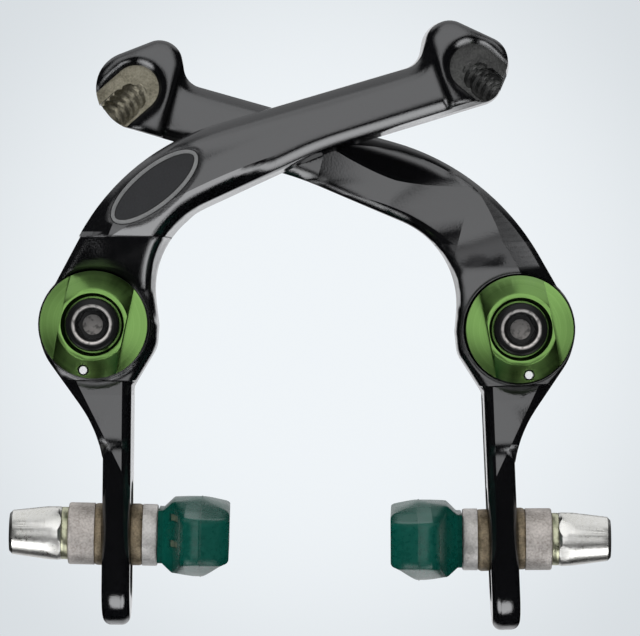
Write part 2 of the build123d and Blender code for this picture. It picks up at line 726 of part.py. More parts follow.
def side_pieces(front_arm, open_deg, pad_tilt):
    return {
        "arm": arm(front_arm),
        "pivot_bush": pivot_bush(),
        "return_spring": return_spring(open_deg),
        "tension_adjuster": tension_adjuster(),
        "pivot_bolt": pivot_bolt(),
        "inner_ball_washer": on_leg(ball_washer(INNER_BALL_R)),
        "outer_ball_washer": on_leg(flipped(ball_washer(OUTER_BALL_R))),
        "inner_cup_washer": on_stud(cup_washer(INNER_BALL_R, INNER_CUP_RIM), pad_tilt),
        "outer_cup_washer": on_stud(flipped(cup_washer(OUTER_BALL_R, OUTER_CUP_RIM)), pad_tilt),
        "nut_washer": on_stud(flipped(nut_washer()), pad_tilt),
        "cap_nut": on_stud(flipped(cap_nut()), pad_tilt),
        "pad_stud": on_stud(pad_stud(), pad_tilt),
        "brake_pad": on_stud(brake_pad(), pad_tilt),
    }


STAY_PUT = ("pivot_bush", "pivot_bolt", "tension_adjuster", "return_spring")


def opened(part, name, angle):
    """Swing what an arm carries outwards about its pivot."""
    return part if name in STAY_PUT else Rot(0, angle, 0) * part


os.makedirs("parts", exist_ok=True)
for name, piece in side_pieces(True, LEFT_OPEN_DEG, LEFT_PAD_TILT).items():
    placed = Pos(-PIVOT_X, 0, 0) * opened(piece, name, LEFT_OPEN_DEG)
    export_step(placed, f"parts/left_{name}.step")
for name, piece in side_pieces(False, RIGHT_OPEN_DEG, RIGHT_PAD_TILT).items():
    placed = mirror(Pos(-PIVOT_X, 0, 0) * opened(piece, name, RIGHT_OPEN_DEG), about=Plane.YZ)
    export_step(placed, f"parts/right_{name}.step")
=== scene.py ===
import json
import math
import bmesh
import bpy
from mathutils import Matrix, Vector

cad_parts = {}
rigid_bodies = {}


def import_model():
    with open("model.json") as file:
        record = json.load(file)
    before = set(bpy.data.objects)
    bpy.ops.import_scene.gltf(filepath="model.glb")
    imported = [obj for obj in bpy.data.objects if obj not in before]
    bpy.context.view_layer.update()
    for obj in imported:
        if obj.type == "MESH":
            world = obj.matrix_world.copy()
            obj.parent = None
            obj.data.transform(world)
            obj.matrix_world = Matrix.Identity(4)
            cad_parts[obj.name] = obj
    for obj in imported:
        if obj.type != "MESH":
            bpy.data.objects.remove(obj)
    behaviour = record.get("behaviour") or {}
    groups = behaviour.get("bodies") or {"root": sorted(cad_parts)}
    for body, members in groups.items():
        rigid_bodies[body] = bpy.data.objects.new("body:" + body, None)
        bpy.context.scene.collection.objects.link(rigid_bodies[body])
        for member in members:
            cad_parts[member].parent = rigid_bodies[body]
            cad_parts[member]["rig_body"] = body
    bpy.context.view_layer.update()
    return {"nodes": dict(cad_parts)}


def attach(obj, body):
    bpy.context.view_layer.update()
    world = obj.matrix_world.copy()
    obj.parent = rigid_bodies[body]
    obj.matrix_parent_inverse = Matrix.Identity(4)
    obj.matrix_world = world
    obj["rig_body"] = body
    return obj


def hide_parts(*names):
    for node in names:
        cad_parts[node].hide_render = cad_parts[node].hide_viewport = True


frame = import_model()
scene = bpy.context.scene
nodes = frame["nodes"]
SIDES = ("left", "right")

# Camera. It stands 650 mm in front of the brake and looks along +Y, a little right of the
# middle. The photograph is turned a little clockwise, so the camera rolls the other way.
camera = bpy.data.objects.new("camera", bpy.data.cameras.new("camera"))
scene.collection.objects.link(camera)
camera.location = (0.00249, -0.6504, 0.00171)
camera.rotation_euler = (math.radians(90), math.radians(-0.63), 0)
camera.data.lens = 194.5
camera.data.sensor_width = 36
camera.data.clip_start = 0.01
scene.camera = camera
scene.view_settings.view_transform = "Standard"

# World. Pale blue-grey to the camera. Glossy rays see the studio: pale behind the brake,
# a grey front, pale cards low at both sides, and dark gaps between them.
world = bpy.data.worlds.new("studio")
scene.world = world
world.use_nodes = True
tree = world.node_tree
tree.nodes.clear()
out = tree.nodes.new("ShaderNodeOutputWorld")
coord = tree.nodes.new("ShaderNodeTexCoord")
path = tree.nodes.new("ShaderNodeLightPath")


def world_lobe(direction, inner, outer, level):
    """A soft round patch of light round a direction, with its edges in degrees."""
    dot = tree.nodes.new("ShaderNodeVectorMath")
    dot.operation = "DOT_PRODUCT"
    dot.inputs[1].default_value = Vector(direction).normalized()
    tree.links.new(coord.outputs["Generated"], dot.inputs[0])
    ramp = tree.nodes.new("ShaderNodeMapRange")
    ramp.interpolation_type = "SMOOTHSTEP"
    ramp.inputs["From Min"].default_value = math.cos(math.radians(outer))
    ramp.inputs["From Max"].default_value = math.cos(math.radians(inner))
    ramp.inputs["To Max"].default_value = level
    tree.links.new(dot.outputs["Value"], ramp.inputs["Value"])
    return ramp.outputs["Result"]


def brightest(lobes):
    """The highest of several lobes at each direction."""
    total = lobes[0]
    for lobe in lobes[1:]:
        add = tree.nodes.new("ShaderNodeMath")
        add.operation = "MAXIMUM"
        tree.links.new(total, add.inputs[0])
        tree.links.new(lobe, add.inputs[1])
        total = add.outputs[0]
    return total


glossy = tree.nodes.new("ShaderNodeBackground")
glossy.inputs["Color"].default_value = (0.97, 0.98, 1.0, 1)
tree.links.new(brightest([
    world_lobe((0, 1, -0.03), 9, 15, 0.9),
    world_lobe((0, 0.85, -0.53), 15, 24, 0.8),
    world_lobe((0, -1, 0), 13, 21, 1.6),
    world_lobe((0, -0.8, 0.6), 18, 26, 1.5),
    world_lobe((0, 0.3, 1), 40, 55, 0.9),
    world_lobe((0.42, -0.37, -0.83), 13, 21, 4.0),
    world_lobe((-0.42, -0.37, -0.83), 13, 21, 4.0),
]), glossy.inputs["Strength"])
diffuse = tree.nodes.new("ShaderNodeBackground")
diffuse.inputs["Color"].default_value = (0.95, 0.97, 1.0, 1)
tree.links.new(brightest([
    world_lobe((0, 0, 1), 30, 150, 1.25),
    world_lobe((0, 0, -1), 0, 170, 0.3),
]), diffuse.inputs["Strength"])
pale = tree.nodes.new("ShaderNodeBackground")
tint = tree.nodes.new("ShaderNodeMix")
tint.data_type = "RGBA"
tint.inputs["A"].default_value = (0.69, 0.73, 0.76, 1)
tint.inputs["B"].default_value = (0.87, 0.91, 0.94, 1)
tree.links.new(world_lobe((0, 1, 0), 0.5, 7.5, 1.0), tint.inputs["Factor"])
tree.links.new(tint.outputs["Result"], pale.inputs["Color"])
pick_glossy = tree.nodes.new("ShaderNodeMixShader")
tree.links.new(path.outputs["Is Glossy Ray"], pick_glossy.inputs[0])
tree.links.new(diffuse.outputs[0], pick_glossy.inputs[1])
tree.links.new(glossy.outputs[0], pick_glossy.inputs[2])
see = tree.nodes.new("ShaderNodeMath")
see.operation = "MAXIMUM"
tree.links.new(path.outputs["Is Camera Ray"], see.inputs[0])
tree.links.new(path.outputs["Is Transmission Ray"], see.inputs[1])
pick_camera = tree.nodes.new("ShaderNodeMixShader")
tree.links.new(see.outputs[0], pick_camera.inputs[0])
tree.links.new(pick_glossy.outputs[0], pick_camera.inputs[1])
tree.links.new(pale.outputs[0], pick_camera.inputs[2])
tree.links.new(pick_camera.outputs[0], out.inputs["Surface"])

# Lamp. One large soft lamp above, in front and to the left. It lights only matte surfaces.
lamp = bpy.data.objects.new("front_lamp", bpy.data.lights.new("front_lamp", "AREA"))
scene.collection.objects.link(lamp)
lamp.location = (-0.25, -0.55, 0.6)
lamp.rotation_euler = (Vector((0, 0, 0)) - lamp.location).to_track_quat("-Z", "Y").to_euler()
lamp.data.shape = "RECTANGLE"
lamp.data.size = lamp.data.size_y = 0.4
lamp.data.energy = 3.0
lamp.visible_glossy = False

# Floor. A small pale disc well under the brake, which keeps its shadow. Its edge fades out,
# so that it ends softly in the pale backdrop from any side.
FLOOR_RADIUS = 0.24
FLOOR_Z = -0.085
floor_mesh = bmesh.new()
bmesh.ops.create_circle(floor_mesh, cap_ends=True, segments=96, radius=FLOOR_RADIUS)
bmesh.ops.translate(floor_mesh, verts=floor_mesh.verts, vec=(0, 0.01, FLOOR_Z))
floor = bpy.data.objects.new("floor", bpy.data.meshes.new("floor"))
floor_mesh.to_mesh(floor.data)
floor_mesh.free()
scene.collection.objects.link(floor)
floor_paint = bpy.data.materials.new("pale_paper")
floor_paint.use_nodes = True
floor_tree = floor_paint.node_tree
floor_shader = floor_tree.nodes["Principled BSDF"]
floor_shader.inputs["Base Color"].default_value = (0.8, 0.83, 0.85, 1)
floor_shader.inputs["Roughness"].default_value = 0.9
floor_shader.inputs["Specular IOR Level"].default_value = 0.1
spot = floor_tree.nodes.new("ShaderNodeTexCoord")
reach = floor_tree.nodes.new("ShaderNodeVectorMath")
reach.operation = "LENGTH"
floor_tree.links.new(spot.outputs["Object"], reach.inputs[0])
fade = floor_tree.nodes.new("ShaderNodeMapRange")
fade.interpolation_type = "SMOOTHSTEP"
fade.inputs["From Min"].default_value = 0.12
fade.inputs["From Max"].default_value = 0.25
fade.inputs["To Min"].default_value = 1.0
fade.inputs["To Max"].default_value = 0.0
floor_tree.links.new(reach.outputs["Value"], fade.inputs["Value"])
floor_tree.links.new(fade.outputs["Result"], floor_shader.inputs["Alpha"])
floor.data.materials.append(floor_paint)
floor.visible_glossy = False

# Arms. Cold forged aluminium, painted gloss black all over, with a slight orange peel. Each
# turns on its pivot bush. It is the CAD shape in a merged copy whose edges are rounded. The
# right arm's cable socket is bare metal, and the left one's is dark.
PIVOT_X = 0.04
OPEN = {"left": 0.0, "right": 3.0}  # degrees that the arm is swung open
SOCKET_MOUTH = {"left": (71.053, -5.7, 47.466), "right": (71.053, 7.3, 47.466)}
SOCKET_AWAY = (0.57753, 0.66913, -0.46768)
SOCKET_RADIUS = 0.00308


def on_pivot(side):
    """From a side's own millimetres, pivot at the origin, to its place on the brake."""
    turn = Matrix.Rotation(math.radians(OPEN[side]), 4, "Y")
    place = Matrix.Translation((-PIVOT_X, 0, 0)) @ turn
    if side == "right":
        place = Matrix.Scale(-1, 4, (1, 0, 0)) @ place
    return place @ Matrix.Scale(0.001, 4)


def group_node(tree, group, **values):
    """A node group in a tree. A value's name has _ where the socket's name has a space."""
    node = tree.nodes.new("ShaderNodeGroup")
    node.node_tree = group
    for name, value in values.items():
        node.inputs[name.replace("_", " ")].default_value = value
    return node


def make_mottled_finish():
    """Two noises: broad patches of colour, and a fine grain of colour, gloss and relief."""
    group = bpy.data.node_groups.new("mottled_finish", "ShaderNodeTree")
    for name, kind in (
        ("Dark", "NodeSocketColor"), ("Pale", "NodeSocketColor"),
        ("Patch Scale", "NodeSocketFloat"), ("Grain Scale", "NodeSocketFloat"),
        ("Smooth", "NodeSocketFloat"), ("Rough", "NodeSocketFloat"), ("Relief", "NodeSocketFloat"),
    ):
        group.interface.new_socket(name, in_out="INPUT", socket_type=kind)
    for name, kind in (
        ("Color", "NodeSocketColor"), ("Roughness", "NodeSocketFloat"),
        ("Normal", "NodeSocketVector"),
    ):
        group.interface.new_socket(name, in_out="OUTPUT", socket_type=kind)
    entry = group.nodes.new("NodeGroupInput")
    leave = group.nodes.new("NodeGroupOutput")
    where = group.nodes.new("ShaderNodeTexCoord")
    noises = []
    for scale, detail in (("Patch Scale", 3.0), ("Grain Scale", 2.0)):
        noise = group.nodes.new("ShaderNodeTexNoise")
        noise.inputs["Detail"].default_value = detail
        group.links.new(where.outputs["Object"], noise.inputs["Vector"])
        group.links.new(entry.outputs[scale], noise.inputs["Scale"])
        stretch = group.nodes.new("ShaderNodeMapRange")
        stretch.inputs["From Min"].default_value = 0.3
        stretch.inputs["From Max"].default_value = 0.7
        group.links.new(noise.outputs["Fac"], stretch.inputs["Value"])
        noises.append(stretch.outputs["Result"])
    both = group.nodes.new("ShaderNodeMix")
    both.inputs["Factor"].default_value = 0.5
    group.links.new(noises[0], both.inputs["A"])
    group.links.new(noises[1], both.inputs["B"])
    blend = group.nodes.new("ShaderNodeMix")
    blend.data_type = "RGBA"
    group.links.new(both.outputs["Result"], blend.inputs["Factor"])
    group.links.new(entry.outputs["Dark"], blend.inputs["A"])
    group.links.new(entry.outputs["Pale"], blend.inputs["B"])
    group.links.new(blend.outputs["Result"], leave.inputs["Color"])
    gloss = group.nodes.new("ShaderNodeMapRange")
    group.links.new(both.outputs["Result"], gloss.inputs["Value"])
    group.links.new(entry.outputs["Smooth"], gloss.inputs["To Min"])
    group.links.new(entry.outputs["Rough"], gloss.inputs["To Max"])
    group.links.new(gloss.outputs["Result"], leave.inputs["Roughness"])
    bump = group.nodes.new("ShaderNodeBump")
    group.links.new(noises[1], bump.inputs["Height"])
    group.links.new(entry.outputs["Relief"], bump.inputs["Distance"])
    group.links.new(bump.outputs["Normal"], leave.inputs["Normal"])
    return group


mottled_finish = make_mottled_finish()


def mottled(name, metallic=0.0, specular=0.5, worn_edge=0.0, **values):
    """A material with the mottled finish. Returns it and its shader."""
    new = bpy.data.materials.new(name)
    new.use_nodes = True
    shader = new.node_tree.nodes["Principled BSDF"]
    shader.inputs["Metallic"].default_value = metallic
    shader.inputs["Specular IOR Level"].default_value = specular
    finish = group_node(new.node_tree, mottled_finish, **values)
    new.node_tree.links.new(finish.outputs["Color"], shader.inputs["Base Color"])
    new.node_tree.links.new(finish.outputs["Roughness"], shader.inputs["Roughness"])
    normal = finish.outputs["Normal"]
    if worn_edge:
        soften = new.node_tree.nodes.new("ShaderNodeBevel")
        soften.samples = 8
        soften.inputs["Radius"].default_value = worn_edge
        new.node_tree.links.new(normal, soften.inputs["Normal"])
        normal = soften.outputs["Normal"]
    new.node_tree.links.new(normal, shader.inputs["Normal"])
    return new, shader


def merged(node):
    """The CAD node's shape with its loose triangles joined and its flats made whole."""
    mesh = bmesh.new()
    mesh.from_mesh(nodes[node].data)
    bmesh.ops.remove_doubles(mesh, verts=mesh.verts, dist=2e-6)
    bmesh.ops.dissolve_limit(
        mesh, angle_limit=math.radians(0.4), verts=mesh.verts, edges=mesh.edges,
    )
    return mesh


def finished(mesh, name, materials, body, node=None, bevel=0.0, angle=24, segments=3):
    """Make the object of a bmesh, round its edges, and fix it to its body."""
    piece = bpy.data.objects.new(name, bpy.data.meshes.new(name))
    mesh.to_mesh(piece.data)
    mesh.free()
    scene.collection.objects.link(piece)
    piece.data.shade_smooth()
    if bevel:
        edges = piece.modifiers.new("rounded_edges", "BEVEL")
        edges.width = bevel
        edges.segments = segments
        edges.limit_method = "ANGLE"
        edges.angle_limit = math.radians(angle)
        edges.harden_normals = True
    for entry in materials:
        piece.data.materials.append(entry)
    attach(piece, body)
    if node:
        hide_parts(node)
    return piece


gloss_black, _ = mottled(
    "gloss_black", specular=1.0, worn_edge=0.0016,
    Dark=(0.003, 0.003, 0.0034, 1), Pale=(0.006, 0.006, 0.0066, 1),
    Patch_Scale=70.0, Grain_Scale=3000.0, Smooth=0.06, Rough=0.13, Relief=5e-6,
)
socket_metal, _ = mottled(
    "socket_metal", metallic=0.8, Dark=(0.10, 0.09, 0.06, 1), Pale=(0.42, 0.39, 0.30, 1),
    Patch_Scale=500.0, Grain_Scale=2600.0, Smooth=0.3, Rough=0.55, Relief=2e-5,
)
socket_dark, _ = mottled(
    "socket_dark", metallic=0.6, Dark=(0.01, 0.01, 0.01, 1), Pale=(0.09, 0.09, 0.085, 1),
    Patch_Scale=400.0, Grain_Scale=2600.0, Smooth=0.25, Rough=0.5, Relief=2e-5,
)


def number(tree, operation, *values):
    """A Math node. A value is a number or another node's output."""
    node = tree.nodes.new("ShaderNodeMath")
    node.operation = operation
    for socket, value in zip(node.inputs, values):
        if isinstance(value, (int, float)):
            socket.default_value = value
        else:
            tree.links.new(value, socket)
    return node.outputs[0]


def ramp(tree, value, start, end):
    """0 at start and 1 at end."""
    node = tree.nodes.new("ShaderNodeMapRange")
    node.inputs["From Min"].default_value = start
    node.inputs["From Max"].default_value = end
    tree.links.new(value, node.inputs["Value"])
    return node.outputs["Result"]


def past_line(tree, value, line):
    """How far a value is past a line, for fall."""
    return number(tree, "SUBTRACT", value, line)


def axes(tree, vector):
    split = tree.nodes.new("ShaderNodeSeparateXYZ")
    tree.links.new(vector, split.inputs[0])
    return split.outputs


def circle_radius(tree, x, z, centre):
    """The distance from a centre, seen from the front."""
    across = number(tree, "SUBTRACT", x, centre[0])
    up = number(tree, "SUBTRACT", z, centre[1])
    squares = number(
        tree, "ADD", number(tree, "MULTIPLY", across, across), number(tree, "MULTIPLY", up, up),
    )
    return number(tree, "SQRT", squares)


def fall(tree, past, slope, masks=()):
    """Height of a face that falls away at a slope where past is above zero."""
    height = number(tree, "MULTIPLY", number(tree, "MAXIMUM", past, 0.0), -slope)
    for mask in masks:
        height = number(tree, "MULTIPLY", height, mask)
    return height


def lean(paint, height):
    """Let a height field tilt a worn_edge material's surface, under its rounded edges."""
    tree = paint.node_tree
    form = tree.nodes.new("ShaderNodeBump")
    form.inputs["Distance"].default_value = 1.0
    tree.links.new(height, form.inputs["Height"])
    grain = next(n for n in tree.nodes if n.type == "GROUP").outputs["Normal"]
    soften = next(n for n in tree.nodes if n.type == "BEVEL")
    tree.links.new(grain, form.inputs["Normal"])
    tree.links.new(form.outputs["Normal"], soften.inputs["Normal"])


# The outer shoulder falls away outside a circle that widens above a height. The inner band
# falls away inside another circle. Metres, in the side's own frame.
SHOULDER_CENTRE = (0.0352, -0.00325)
SHOULDER_START_X = (0.024, 0.018)
SHOULDER = {
    "left": {"foot": 0.0164, "slope": 0.4, "radius": 0.0365, "widening": 0.235, "above": 0.010},
    "right": {"foot": 0.0070, "slope": 0.9, "radius": 0.0385, "widening": 0.3, "above": 0.0165},
}
BAND_START_X = (0.034, 0.026)
BAND_FOOT_Z = (0.0165, 0.0167)
BAND = {
    "left": {"slope": 0.62, "centre": (0.0767, -0.0907), "radius": 0.130},
    "right": {"slope": 0.3, "centre": (0.0380, -0.0100), "radius": 0.0375},
}
# The web's facet lies between its sloping outer flank, its inner flank and the boss
WEB_TOP_Z = (-0.0105, -0.0107)
WEB_SLOPE = 0.32
WEB_FLANK_NORMAL = (-0.89, -0.457)
WEB_FLANK = 0.0079
WEB_INNER_X = 0.0053
WEB_BOSS_Z = -0.0132
# A long shallow hollow in the right bar, which faces down. Metres in the part's frame.
HOLLOW_AT = (0.0174, 0, 0.0309)
HOLLOW_TILT = 15
HOLLOW_HALF_LENGTH = 0.0145
HOLLOW_HALF_WIDTH = 0.0029
HOLLOW_SLOPE = 0.31


def hollow_height(tree, where):
    oval = tree.nodes.new("ShaderNodeMapping")
    oval.vector_type = "TEXTURE"
    oval.inputs["Location"].default_value = HOLLOW_AT
    oval.inputs["Rotation"].default_value = (0, math.radians(HOLLOW_TILT), 0)
    oval.inputs["Scale"].default_value = (HOLLOW_HALF_LENGTH, 1, HOLLOW_HALF_WIDTH)
    tree.links.new(where, oval.inputs["Vector"])
    x, _, z = axes(tree, oval.outputs["Vector"])
    along = number(tree, "POWER", number(tree, "ABSOLUTE", x), 1.5)
    top = number(tree, "MAXIMUM", number(tree, "SUBTRACT", 1.0, along), 0.0)
    below = number(tree, "MAXIMUM", number(tree, "SUBTRACT", top, z), 0.0)
    drop = number(tree, "MINIMUM", below, number(tree, "MULTIPLY", top, 2.0))
    return number(tree, "MULTIPLY", drop, -HOLLOW_SLOPE * HOLLOW_HALF_WIDTH)


def forged_black(side):
    """Gloss black with the arm's soft forms: the shoulder, the band, the web's facet and the
    right arm's hollow."""
    paint = gloss_black.copy()
    paint.name = f"{side}_arm_black"
    tree = paint.node_tree
    where = tree.nodes.new("ShaderNodeTexCoord").outputs["Object"]
    own = tree.nodes.new("ShaderNodeMapping")
    turn = math.radians(OPEN[side])
    own.inputs["Scale"].default_value = (-1 if side == "right" else 1, 1, 1)
    own.inputs["Rotation"].default_value = (0, -turn, 0)
    own.inputs["Location"].default_value = (
        PIVOT_X * math.cos(turn), 0, PIVOT_X * math.sin(turn),
    )
    tree.links.new(where, own.inputs["Vector"])
    x, _, z = axes(tree, own.outputs["Vector"])
    shoulder = SHOULDER[side]
    above = number(tree, "MAXIMUM", past_line(tree, z, shoulder["above"]), 0.0)
    edge = number(tree, "MULTIPLY_ADD", above, shoulder["widening"], shoulder["radius"])
    foot = ramp(tree, z, shoulder["foot"], shoulder["foot"] + 0.001)
    heights = [fall(
        tree, past_line(tree, circle_radius(tree, x, z, SHOULDER_CENTRE), edge),
        shoulder["slope"], (foot, ramp(tree, x, *SHOULDER_START_X)),
    )]
    band = BAND[side]
    heights.append(fall(
        tree, number(tree, "SUBTRACT", band["radius"], circle_radius(tree, x, z, band["centre"])),
        band["slope"], (ramp(tree, z, *BAND_FOOT_Z), ramp(tree, x, *BAND_START_X)),
    ))
    web = (ramp(tree, z, *WEB_TOP_Z),)
    along_z = number(tree, "MULTIPLY", z, WEB_FLANK_NORMAL[1])
    flank = number(tree, "MULTIPLY_ADD", x, WEB_FLANK_NORMAL[0], along_z)
    for value, line in ((flank, WEB_FLANK), (x, WEB_INNER_X), (z, WEB_BOSS_Z)):
        heights.append(fall(tree, past_line(tree, value, line), WEB_SLOPE, web))
    if side == "right":
        heights.append(hollow_height(tree, where))
    total = heights[0]
    for height in heights[1:]:
        total = number(tree, "ADD", total, height)
    lean(paint, total)
    return paint


for side in SIDES:
    mesh = merged(f"{side}_arm")
    mouth = on_pivot(side) @ Vector(SOCKET_MOUTH[side])
    away = (on_pivot(side).to_3x3() @ Vector(SOCKET_AWAY)).normalized()
    for face in mesh.faces:
        reach = face.calc_center_median() - mouth
        along = reach.dot(away)
        if -0.004 < along < 0.02 and (reach - along * away).length < SOCKET_RADIUS:
            face.material_index = 1
    bore = socket_dark if side == "left" else socket_metal
    finished(
        mesh, f"{side}_arm_forging", [forged_black(side), bore], f"{side}_swinging_arm",
        f"{side}_arm", bevel=0.0003,
    )

# Badge. A thin oval stuck on the left arm: a grey band between two thin black lines, round a matte
# dark field that is left bare. The band's grey is painted highlight, in place of the light on a
# rounded ring. Millimetres, in the side's own frame.
BADGE_HALF = (10.1, 3.9)
BADGE_AT = (11.3, -3.92, 25.9)
BADGE_TILT = -39.5
badge = bmesh.new()
bmesh.ops.create_circle(badge, cap_ends=True, segments=128, radius=1.0)
bmesh.ops.scale(badge, vec=(*BADGE_HALF, 1.0), verts=badge.verts)
field = badge.faces[:]
rim = bmesh.ops.extrude_face_region(badge, geom=field)
top = [f for f in rim["geom"] if isinstance(f, bmesh.types.BMFace)]
bmesh.ops.delete(badge, geom=field, context="FACES_ONLY")
bmesh.ops.translate(badge, verts=[v for f in top for v in f.verts], vec=(0, 0, 0.42))
bmesh.ops.inset_region(badge, faces=top, thickness=0.1, depth=0.04)
band = bmesh.ops.inset_region(badge, faces=top, thickness=0.68, depth=0.0)["faces"]
for face in band:
    face.material_index = 1
bmesh.ops.inset_region(badge, faces=top, thickness=0.1, depth=-0.06)
bmesh.ops.inset_region(badge, faces=top, thickness=0.1, depth=0.0)
for face in top:
    face.material_index = 2
bmesh.ops.transform(
    badge, verts=badge.verts,
    matrix=on_pivot("left") @ Matrix.Translation(BADGE_AT)
    @ Matrix.Rotation(math.radians(BADGE_TILT), 4, "Y")
    @ Matrix.Rotation(math.radians(90), 4, "X"),
)
bmesh.ops.recalc_face_normals(badge, faces=badge.faces)
badge_line, _ = mottled(
    "badge_line", Dark=(0.002, 0.002, 0.002, 1), Pale=(0.004, 0.004, 0.004, 1),
    Patch_Scale=200.0, Grain_Scale=2500.0, Smooth=0.4, Rough=0.6, Relief=2e-6,
)
# The band's grey colour is a painted highlight.
badge_painted_highlight, _ = mottled(
    "badge_painted_highlight", specular=0.4, Dark=(0.11, 0.11, 0.11, 1), Pale=(0.22, 0.22, 0.215, 1),
    Patch_Scale=250.0, Grain_Scale=3200.0, Smooth=0.35, Rough=0.55, Relief=3e-6,
)
badge_field, _ = mottled(
    "badge_field", specular=0.3, Dark=(0.014, 0.014, 0.015, 1), Pale=(0.026, 0.026, 0.028, 1),
    Patch_Scale=180.0, Grain_Scale=2800.0, Smooth=0.45, Rough=0.62, Relief=3e-6,
)
finished(
    badge, "left_badge", [badge_line, badge_painted_highlight, badge_field], "left_swinging_arm",
)

# Tension adjusters. Aluminium caps turned on a lathe, milled with two wrench flats, anodised
# green and held by the pivot bolts. The lathe leaves fine rings round the pivot, and the
# front is slightly crowned from top to bottom.
CROWN = -7.5  # height per squared metre from the middle


def make_lathe_rings():
    """Fine rings round the pivot of either side, as a mask, the radius and a normal."""
    group = bpy.data.node_groups.new("lathe_rings", "ShaderNodeTree")
    for name in ("Ring Scale", "Relief"):
        group.interface.new_socket(name, in_out="INPUT", socket_type="NodeSocketFloat")
    group.interface.new_socket("Mask", in_out="OUTPUT", socket_type="NodeSocketFloat")
    group.interface.new_socket("Radius", in_out="OUTPUT", socket_type="NodeSocketFloat")
    group.interface.new_socket("Normal", in_out="OUTPUT", socket_type="NodeSocketVector")
    entry = group.nodes.new("NodeGroupInput")
    leave = group.nodes.new("NodeGroupOutput")
    where = group.nodes.new("ShaderNodeTexCoord")
    x, y, z = axes(group, where.outputs["Object"])
    off_pivot = number(group, "SUBTRACT", number(group, "ABSOLUTE", x), PIVOT_X)
    flat = group.nodes.new("ShaderNodeCombineXYZ")
    group.links.new(off_pivot, flat.inputs["X"])
    group.links.new(z, flat.inputs["Y"])
    radius = group.nodes.new("ShaderNodeVectorMath")
    radius.operation = "LENGTH"
    group.links.new(flat.outputs[0], radius.inputs[0])
    line = group.nodes.new("ShaderNodeCombineXYZ")
    group.links.new(radius.outputs["Value"], line.inputs["X"])
    group.links.new(y, line.inputs["Y"])
    noise = group.nodes.new("ShaderNodeTexNoise")
    noise.inputs["Detail"].default_value = 3.0
    group.links.new(line.outputs[0], noise.inputs["Vector"])
    group.links.new(entry.outputs["Ring Scale"], noise.inputs["Scale"])
    bump = group.nodes.new("ShaderNodeBump")
    group.links.new(noise.outputs["Fac"], bump.inputs["Height"])
    group.links.new(entry.outputs["Relief"], bump.inputs["Distance"])
    group.links.new(noise.outputs["Fac"], leave.inputs["Mask"])
    group.links.new(radius.outputs["Value"], leave.inputs["Radius"])
    group.links.new(bump.outputs["Normal"], leave.inputs["Normal"])
    return group


lathe_rings = make_lathe_rings()


def turned(name, dark, bright, low, high, relief, ring_scale=2600.0, metallic=1.0, specular=0.5):
    """A lathe-turned metal: colour, gloss and relief run in rings round the pivot."""
    new = bpy.data.materials.new(name)
    new.use_nodes = True
    tree = new.node_tree
    shader = tree.nodes["Principled BSDF"]
    shader.inputs["Metallic"].default_value = metallic
    shader.inputs["Specular IOR Level"].default_value = specular
    rings = group_node(tree, lathe_rings, Ring_Scale=ring_scale, Relief=relief)
    blend = tree.nodes.new("ShaderNodeMix")
    blend.data_type = "RGBA"
    blend.inputs["A"].default_value = (*dark, 1)
    blend.inputs["B"].default_value = (*bright, 1)
    tree.links.new(rings.outputs["Mask"], blend.inputs["Factor"])
    tree.links.new(blend.outputs["Result"], shader.inputs["Base Color"])
    gloss = tree.nodes.new("ShaderNodeMapRange")
    gloss.inputs["To Min"].default_value = low
    gloss.inputs["To Max"].default_value = high
    tree.links.new(rings.outputs["Mask"], gloss.inputs["Value"])
    tree.links.new(gloss.outputs["Result"], shader.inputs["Roughness"])
    tree.links.new(rings.outputs["Normal"], shader.inputs["Normal"])
    return new, tree, shader, rings, blend


green_anodised, tree_g, shader_g, rings_g, _ = turned(
    "green_anodised", (0.11, 0.22, 0.055), (0.23, 0.4, 0.12), 0.24, 0.36, 2e-6,
)
place_g = tree_g.nodes.new("ShaderNodeTexCoord")
_, _, z_g = axes(tree_g, place_g.outputs["Object"])
crown = number(tree_g, "MULTIPLY", number(tree_g, "MULTIPLY", z_g, z_g), CROWN)
crowned = tree_g.nodes.new("ShaderNodeBump")
crowned.inputs["Distance"].default_value = 1.0
tree_g.links.new(crown, crowned.inputs["Height"])
tree_g.links.new(rings_g.outputs["Normal"], crowned.inputs["Normal"])
tree_g.links.new(crowned.outputs["Normal"], shader_g.inputs["Normal"])
for side in SIDES:
    finished(
        merged(f"{side}_tension_adjuster"), f"{side}_adjuster_cap", [green_anodised],
        f"{side}_adjuster", f"{side}_tension_adjuster", bevel=0.00013,
    )

# Pivot bolts. Black oxide M6 socket screws, screwed into the frame's studs. The pale ring at the
# mouth of the socket is painted highlight, the floor of the socket is bare steel, and the shank
# has a rolled thread.
M6_THREAD_SCALE = 314.16  # of a wave texture, for a pitch of 1 mm
M6_THREAD_DEPTH = 0.0004
bolt_black, tree_b, shader_b, rings_b, blend_b = turned(
    "bolt_black", (0.004, 0.004, 0.004), (0.009, 0.009, 0.009), 0.2, 0.34, 3e-6,
    metallic=0.0, specular=0.16,
)
# Bare socket floor and painted highlight ring, from the pivot outwards in units of 10 mm
stops = tree_b.nodes.new("ShaderNodeValToRGB")
stops.color_ramp.interpolation = "LINEAR"
while len(stops.color_ramp.elements) < 6:
    stops.color_ramp.elements.new(0.5)
for element, (radius, level) in zip(stops.color_ramp.elements, (
    (0.0, 0.42), (0.185, 0.42), (0.195, 0.0), (0.315, 0.0), (0.34, 1.0), (0.385, 0.0),
)):
    element.position = radius
    element.color = (level, level, level, 1)
tree_b.links.new(number(tree_b, "MULTIPLY", rings_b.outputs["Radius"], 100.0), stops.inputs["Fac"])
place_b = tree_b.nodes.new("ShaderNodeTexCoord")
_, y_b, _ = axes(tree_b, place_b.outputs["Object"])
# The front of the head gets the bare floor and the painted highlight ring, broken up by noise.
bare_and_highlight = number(tree_b, "MULTIPLY", stops.outputs["Color"], ramp(tree_b, y_b, -0.0015, -0.0025))
ragged = tree_b.nodes.new("ShaderNodeTexNoise")
ragged.inputs["Scale"].default_value = 900.0
